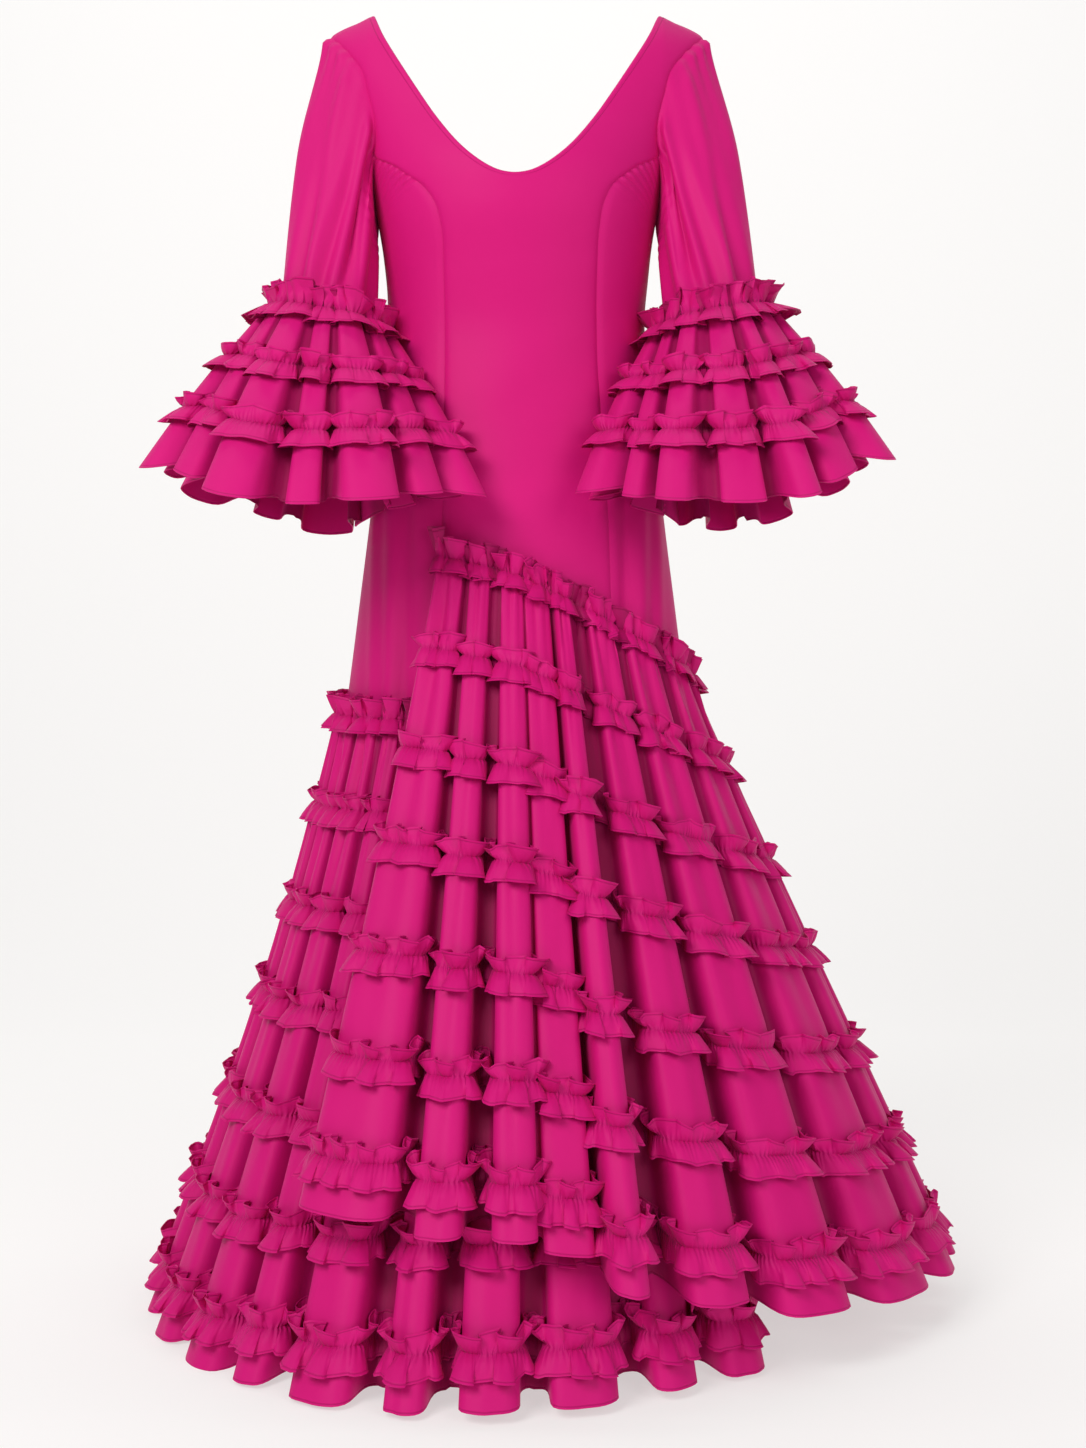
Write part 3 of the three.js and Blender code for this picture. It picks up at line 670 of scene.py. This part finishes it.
def rounded(at, place, values):
    """The corners joined up and rounded off."""
    weights = ((-0.08, 1), (-0.04, 2), (0, 3), (0.04, 2), (0.08, 1))
    return sum(weight * np.interp(at + step, place, values) for step, weight in weights) / 9


def hollow(depth):
    """How much deeper the colour is down between the folds, where little light comes back out."""
    return 0.85 * (1 - smooth(-0.95, 0.1, depth))


def flounce_folds():
    front = FRONT_FOLDS
    step = (LAST_TURN - front["valley"][-1]) / EVEN_TUBES
    extra = np.arange(1, EVEN_TUBES + 1)
    uneven = 0.16 * step * wander(extra * 2.1, 3.0) * (extra < EVEN_TUBES)
    valleys = np.concatenate([front["valley"], front["valley"][-1] + step * extra + uneven])
    gaps = np.concatenate([front["gap"], 2.7 + 0.8 * wander(extra * 1.7, 5.0)])
    recesses = np.concatenate([front["recess"], 0.95 + 0.2 * wander(extra * 2.9, 6.0)])
    fronts = np.concatenate([front["front"], 1.0 + 0.22 * wander(extra * 3.7, 7.0)])
    return fold_corners(valleys, gaps, recesses, fronts)


FLOUNCE_FOLDS = flounce_folds()


# ------------------------------------------------------------------ sleeve bells
def clear_of_hips(points, clear):
    """Moves points that would lie in the hips out to a clear distance from them."""
    half = read(TORSO, "drop", -points[..., 2], "half") + clear
    deep = read(TORSO, "drop", -points[..., 2], "front") + clear
    within = np.hypot(points[..., 0] / half, points[..., 1] / deep)
    out = np.maximum(1 / np.maximum(within, 0.05), 1)
    points[..., 0] *= out
    points[..., 1] *= out
    return points


def bell_folds(seed):
    """Corners of a bell's folds, with one fold more at each end so that the round closes."""
    count = np.arange(-1, BELL_TUBES + 2)
    own = count % BELL_TUBES
    step = 360 / BELL_TUBES
    valleys = step * (count + 0.16 * wander(own * 2.3, seed))
    gaps = 5.0 + 1.8 * wander(own * 1.9, seed + 1)
    recesses = 1.0 + 0.25 * wander(own * 2.7, seed + 2)
    fronts = 0.95 + 0.45 * np.where(own % 2 == 0, 1, -1) + 0.3 * wander(own * 3.3, seed + 3)
    place, turn, depth = fold_corners(valleys, gaps, recesses, fronts)
    return place - 1, turn, depth


BELL_FOLDS = {"right": bell_folds(1.0), "left": bell_folds(2.0)}


def bell_surface(name, tube, share):
    """Points of a bell: tube counts its folds round, share runs down it. Depth comes with them."""
    arm = ARMS[name]
    place, turns, depths = BELL_FOLDS[name]
    angle = np.radians(rounded(tube, place, turns))
    depth = rounded(tube, place, depths)
    whole = tube % BELL_TUBES
    own = wander(np.floor(whole) * 1.9, arm["side"] + 4.0)
    swell = 1.6 + 20.5 * share
    pleat = depth * swell - (1.0 + 2.5 * share)
    fine = np.sin(2 * np.pi * 4 * whole + own) + 0.7 * np.sin(2 * np.pi * 6 * whole + 2 * own)
    fade = 1.5 * np.exp(-np.maximum(share, 0) / 0.12)
    for gather in BELL_GATHERS[1:]:
        after = share - gather
        fade = fade + 1.0 * np.exp(-np.maximum(after, 0) / 0.09) * smooth(-0.02, 0.03, after)
        pleat = pleat - 1.8 * bell_curve(share, gather, 0.03)
    pleat = pleat + fine * fade * 0.8
    top = cuff_ring(arm, angle, BELL_STAND + pleat, BELL_TOP_DROP)
    rise = np.where(np.cos(angle) > 0, arm["rise"], BELL_HEM["inner_rise"]) * np.cos(angle) ** 2
    x = arm["side"] * (arm["hem_x"] + (arm["hem_half"] + pleat) * np.cos(angle))
    y = BELL_HEM["y"] - (BELL_HEM["deep"] + pleat) * np.sin(angle)
    hem = np.stack([x, y, -BELL_HEM["drop"] + rise + 5 * own - 4 * depth], axis=-1)
    points = top + (hem - top) * share[..., None]
    belly = 6 * np.sin(np.pi * np.clip(share, 0, 1))
    points[..., 0] += arm["side"] * belly * np.cos(angle)
    points[..., 1] -= belly * np.sin(angle)
    points = clear_of_hips(points, mix(4.0, 18.0, np.minimum(2 * np.maximum(share, 0), 1)))
    return points, depth


BELL_SLANT = 232.0          # length of a bell from its seam to its hem


def bell(name, material):
    share, part = grid_of(36, 26 * BELL_TUBES)
    points, depth = bell_surface(name, part * BELL_TUBES, share)
    points[:, -1] = points[:, 0]
    edge = (1 - share) * BELL_SLANT
    # The valley attribute holds painted shade, deeper colour down between the folds.
    made = patch(points, edge=edge, valley=hollow(depth))
    return shell(f"sleeve_bell_cloth_{name}", [made], CLOTH, material)


# ------------------------------------------------------------------ ruffle bands
ABOVE = 16.5                # heading above the gathering stitches
BELOW = 22.0                # ruffle below them
WAVE = 27.0                 # cloth between one ruffle's crest and the next
SHIRR = 6.6                 # cloth between one small pucker on the stitches and the next
BAND_STEP = 2.5             # width of a column of a band's mesh


def frill(surface, out, along, run, reach, depth, options):
    """Ruffle a band. reach runs from -1 at the heading's edge, past 0 on the stitches, to 1."""
    seed = options["seed"]
    upper = reach < 0
    far = np.abs(reach)
    beat = run / options.get("wave", WAVE) + 0.46 * wander(run / 33, seed)
    phase = 2 * np.pi * beat + np.where(upper, 1.1 * wander(run / 41, seed + 3), 0)
    strength = np.clip(0.85 + 0.6 * wander(run / 23, seed + 5), 0.2, 1.5)
    size = options.get("size", 1.0) * depth
    stand = np.where(upper, options.get("upper_stand", 6.2), 6.0) * far**0.65
    sway = np.where(upper, 6.4, 5.0) * far * strength
    roll = np.where(upper, 5.4, 3.6) * far * strength
    offset = 1.7 + size * (stand + sway * np.sin(phase))
    points = surface + out * np.maximum(offset, 1.2)[..., None]
    points = points - along * (size * roll * np.sin(2 * phase + 0.5))[..., None]
    lift = np.where(upper, 2.6, 1.2) * far * (np.cos(phase + 0.7) + wander(run / 19, seed + 7))
    points[..., 2] += lift * size
    end_curl = options.get("end_curl", 0.0) * np.exp(-((run / 13) ** 2)) * np.where(upper, far, 0)
    points[..., 2] += end_curl
    points = points + out * (0.8 * end_curl * np.sin(run / 4))[..., None]
    shirring = 0.9 * np.exp(-far / 0.28) * np.where(far < 0.02, 0.3, 1)
    points = points + out * (shirring * (1 + np.sin(2 * np.pi * run / SHIRR)))[..., None]
    return points


def band(label, surface_of, tubes, gather, slant, options, material):
    """A gathered band on a cloth. surface_of(tube, share) gives the cloth's points and depth."""
    dense = np.linspace(tubes[0], tubes[1], int((tubes[1] - tubes[0]) * 70) + 1)
    line = surface_of(dense, np.full(dense.shape, float(gather)))[0]
    length = np.concatenate([[0], np.cumsum(np.linalg.norm(np.diff(line, axis=0), axis=1))])
    columns = int(length[-1] / options.get("step", BAND_STEP))
    run = np.linspace(0, length[-1], columns + 1)
    tube = np.interp(run, length, dense)
    reach = np.concatenate([np.linspace(-1, 0, 4), [0.16, 0.42, 0.7, 1.0]])
    above, below = options.get("above", ABOVE), options.get("below", BELOW)
    slants = slant(tube)
    reach, tube = np.meshgrid(reach, tube, indexing="ij")
    run = np.broadcast_to(run, reach.shape)
    distance = np.where(reach < 0, reach * above, reach * below)
    share = gather + distance / slants
    surface, depth = surface_of(tube, np.maximum(share, 0))
    surface[..., 2] += np.maximum(-share, 0) * slants
    out = normals(surface, wraps=options.get("wraps", False)) * options.get("facing", 1)
    out = unit(out * np.array([1, 1, 0.35]))
    along = unit(np.gradient(surface, axis=1))
    room = mix(options.get("least", 0.4), 1.0, smooth(-0.9, 0.1, depth))
    if options.get("wraps"):
        whole = round(length[-1] / options["wave"])
        options = {**options, "wave": length[-1] / whole}
    points = frill(surface, out, along, run, reach, room, options)
    if options.get("wraps"):
        blend = smooth(0, 1, np.linspace(0, 1, 12))
        closing = points[:, :1] - points[:, -1:]
        points[:, -12:] = points[:, -12:] + closing * blend[None, :, None]
        points[:, -1] = points[:, 0]
    edge = np.where(reach < 0, (1 + reach) * above, (1 - reach) * below)
    pucker = PUCKER_HIGH * np.exp(-np.abs(reach) / PUCKER_REACH)
    # Painted shade: deeper colour down in the fold hollows and in the puckers on the stitches.
    valley = 0.8 * hollow(depth) + STITCH_SHADE * bell_curve(reach, 0, 0.25)
    made = patch(points, edge=edge, run=run, pucker=pucker, valley=valley)
    return shell(label, [made], RUFFLE_CLOTH, material)


def bell_bands(name, material):
    pieces = {}
    labels = ("heading", "upper_ruffle", "lower_ruffle")
    for number, (label, gather) in enumerate(zip(labels, BELL_GATHERS)):
        options = {
            "seed": 11 + number + 3 * ARMS[name]["side"], "facing": -ARMS[name]["side"], "wraps": True,
            "above": (23.0, 14.0, 14.5)[number], "below": (20.0, 19.0, 21.0)[number],
            "size": (1.7, 1.1, 1.2)[number], "wave": (44.0, 27.0, 29.0)[number], "step": 2.6,
        }
        pieces[label] = band(
            f"sleeve_{label}_cloth_{name}", lambda tube, share: bell_surface(name, tube, share),
            (0, BELL_TUBES), gather, lambda tube: BELL_SLANT, options, material,
        )
    return pieces


# ------------------------------------------------------------------ spiral flounce
WIDE_FOLD = 12.0            # degrees above which a fold is creased again near its top


def flounce_surface(tube, share):
    """Points of the flounce: tube counts its folds along the spiral, share runs down it."""
    place, turns, depths = FLOUNCE_FOLDS
    turn = rounded(np.clip(tube, 0, TUBES), place, turns)
    depth = rounded(np.clip(tube, 0, TUBES), place, depths)
    number = np.clip(np.floor(tube), 0, TUBES - 1)
    phase = 2 * np.pi * tube
    own = wander(number * 2.7, 4.0)
    middle = np.interp(number + 0.5, place, turns)
    gauge = np.interp(number + 1, place, turns) - np.interp(number, place, turns)
    lead = read(TOP_LEAD, "turn", turn, "lead")
    top = read(SPIRAL, "turn", turn, "top")
    upper = np.radians(turn + lead)
    lower = np.radians(turn)
    half = read(TORSO, "drop", top, "half") + TOP_STAND
    front = read(TORSO, "drop", top, "front")
    back = read(TORSO, "drop", top, "back")
    deep_top = np.where(np.cos(upper) > 0, front, back) + TOP_STAND
    start = np.stack([half * np.sin(upper), -deep_top * np.cos(upper), -top], axis=-1)
    side = read(SPIRAL, "turn", turn, "side")
    deep = read(SPIRAL, "turn", turn, "deep")
    fraction = tube - np.floor(tube)
    stepped = smooth(0.0, 0.25, fraction) * smooth(0.0, 0.25, 1 - fraction)
    hem = mix(read(SPIRAL, "turn", turn, "hem"), read(SPIRAL, "turn", middle, "hem"), 0.8 * stepped)
    end = np.stack([side * np.sin(lower), -deep * np.cos(lower), -hem], axis=-1)
    points = start + (end - start) * share[..., None]
    swell = 2.6 + 24.5 * np.maximum(share, 0) ** 0.8
    pleat = depth * swell - (swell - 2.2 - 11.0 * share)
    crease = bell_curve(fraction, 0.5, 0.10) * smooth(WIDE_FOLD - 1.5, WIDE_FOLD + 1.5, gauge)
    pleat = pleat - 9.0 * crease * smooth(0.0, 0.12, share) * np.exp(-((share / 0.42) ** 2))
    shallow = bell_curve(fraction, 0.5 + 0.15 * own, 0.07) * smooth(0.1, 0.5, share)
    pleat = pleat - 2.2 * shallow
    fine = 1.5 * np.sin(4 * phase + 1.5 * own) + 1.1 * np.sin(7 * phase + tube)
    fade = 1.25 * np.exp(-share / 0.10) + 0.06
    for gather in GATHERS[1:]:
        after = share - gather
        fade = fade + 0.75 * np.exp(-np.maximum(after, 0) / 0.045) * smooth(-0.01, 0.02, after)
        pleat = pleat - 2.2 * bell_curve(share, gather, 0.016)
    pleat = pleat + fine * fade
    hang = HOLLOW_SIDE * np.sin(np.pi * np.clip(share, 0, 1)) * np.maximum(-np.sin(lower), 0)
    out = pleat - hang
    points[..., 0] += out * np.sin(lower)
    points[..., 1] -= out * np.cos(lower)
    points[..., 2] += share * (4 * own * share - 3.0 * depth)
    return points, depth


def flounce_slant(tube):
    """Length of the flounce from its seam to its hem, along the cloth."""
    turn = rounded(np.clip(tube, 0, TUBES), FLOUNCE_FOLDS[0], FLOUNCE_FOLDS[1])
    drop = read(SPIRAL, "turn", turn, "hem") - read(SPIRAL, "turn", turn, "top")
    return drop * 1.12


def gore(name, tubes, material):
    rows = 60
    columns = 27 * (tubes[1] - tubes[0])
    share, part = grid_of(rows, columns)
    tube = tubes[0] + part * (tubes[1] - tubes[0])
    points, depth = flounce_surface(tube, share)
    edge = (1 - share) * flounce_slant(tube)
    if tubes[0] == 0:
        edge = np.minimum(edge, tube * 90)
    # The valley attribute holds painted shade, deeper colour down between the folds.
    return shell(f"{name}_cloth", [patch(points, edge=edge, valley=hollow(depth))], CLOTH, material)


def skirt_bands(material):
    pieces = {}
    for number, gather in enumerate(GATHERS):
        label = "header_ruffle" if number == 0 else f"ruffle_{number}"
        options = {"seed": 31 + 2 * number, "size": 1.0 + 0.04 * number}
        if number == 0:
            options.update(above=21.0, below=19.0, wave=27.0, upper_stand=3.6)
            options.update(size=1.15, least=0.9, end_curl=13.0)
        if number == len(GATHERS) - 1:
            options.update(above=18.5, below=24.0)
        pieces[label] = band(
            f"{label}_cloth", flounce_surface, (0, TUBES), gather, flounce_slant, options, material
        )
    return pieces


def declare(piece, node_name):
    """Rides the piece and stands it for its CAD node."""
    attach(piece, "root")
    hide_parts(node_name)


# ------------------------------------------------------------------ camera, light and floor
def camera():
    data = bpy.data.cameras.new("camera")
    data.lens = 46.5
    data.sensor_width = 36
    made = bpy.data.objects.new("camera", data)
    made.location = (0.029, -2.058, -0.775)
    made.rotation_euler = (math.radians(90), 0, 0)
    bpy.context.scene.collection.objects.link(made)
    bpy.context.scene.camera = made


def area_light(name, place, target, size, watts):
    data = bpy.data.lights.new(name, "AREA")
    data.shape = "RECTANGLE"
    data.size, data.size_y = size
    data.energy = watts
    made = bpy.data.objects.new(name, data)
    made.location = place
    aim = np.array(target) - np.array(place)
    level = math.hypot(aim[0], aim[1])
    made.rotation_euler = (math.atan2(level, -aim[2]), 0, math.atan2(-aim[0], aim[1]))
    bpy.context.scene.collection.objects.link(made)


def studio(floor_height):
    """A pale cyclorama: a floor that curves up into a wall behind the dress."""
    profile = [(-6.0, 0.0), (1.6, 0.0)]
    for turn in np.linspace(0, math.pi / 2, 14)[1:]:
        profile.append((1.6 + 1.2 * math.sin(turn), 1.2 - 1.2 * math.cos(turn)))
    profile.append((2.8, 5.0))
    points = [(x, y, floor_height + z) for x in (-7.0, 7.0) for y, z in profile]
    count = len(profile)
    faces = [(k, k + 1, count + k + 1, count + k) for k in range(count - 1)]
    mesh = bpy.data.meshes.new("cyclorama")
    mesh.from_pydata(points, [], [face[::-1] for face in faces])
    mesh.polygons.foreach_set("use_smooth", [True] * len(mesh.polygons))
    material = bpy.data.materials.new("paper")
    material.use_nodes = True
    shader = material.node_tree.nodes["Principled BSDF"]
    shader.inputs["Base Color"].default_value = (0.40, 0.395, 0.39, 1)
    shader.inputs["Roughness"].default_value = 0.9
    shader.inputs["Emission Color"].default_value = (1.0, 0.99, 0.98, 1)
    shader.inputs["Emission Strength"].default_value = 0.56
    mesh.materials.append(material)
    floor = bpy.data.objects.new("cyclorama", mesh)
    bpy.context.scene.collection.objects.link(floor)

    world = bpy.data.worlds.new("studio")
    world.use_nodes = True
    world.node_tree.nodes["Background"].inputs["Color"].default_value = (1.0, 0.995, 0.985, 1)
    world.node_tree.nodes["Background"].inputs["Strength"].default_value = 0.27
    bpy.context.scene.world = world
    area_light("key", (-1.5, -2.5, 0.95), (0, 0, -0.8), (1.5, 1.5), 68)
    area_light("fill", (1.8, -2.8, 0.1), (0, 0, -0.8), (1.6, 1.6), 27)
    area_light("wall_wash", (0, 0.4, 2.2), (0, 2.8, 0.2), (4.0, 1.0), 45)


# ------------------------------------------------------------------ the dress
def dress():
    plain = cloth_material("fuchsia_cloth")
    gathered = cloth_material("fuchsia_ruffle", gathers=True)
    centre = front_centre(plain)
    binding = neck_binding(plain)
    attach(binding, "root")
    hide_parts("neck_binding")
    declare(centre, "front_centre")
    for name, arm in ARMS.items():
        for face in ("front", "back"):
            piece = side_panel(arm["side"], face, name, plain)
            declare(piece, f"{face}_side_{name}")
        piece = back_centre(arm["side"], name, plain)
        declare(piece, f"back_centre_{name}")
        piece = sleeve(arm, name, plain)
        declare(piece, f"sleeve_{name}")
        piece = bell(name, plain)
        declare(piece, f"sleeve_bell_{name}")
        for label, piece in bell_bands(name, gathered).items():
            declare(piece, f"sleeve_{label}_{name}")
    for name, tubes in GORES.items():
        piece = gore(name, tubes, plain)
        declare(piece, name)
    for label, piece in skirt_bands(gathered).items():
        declare(piece, label)


camera()
studio(cad_box[0][2] - 0.004)
dress()
scene = bpy.context.scene
scene.view_settings.view_transform = "Standard"
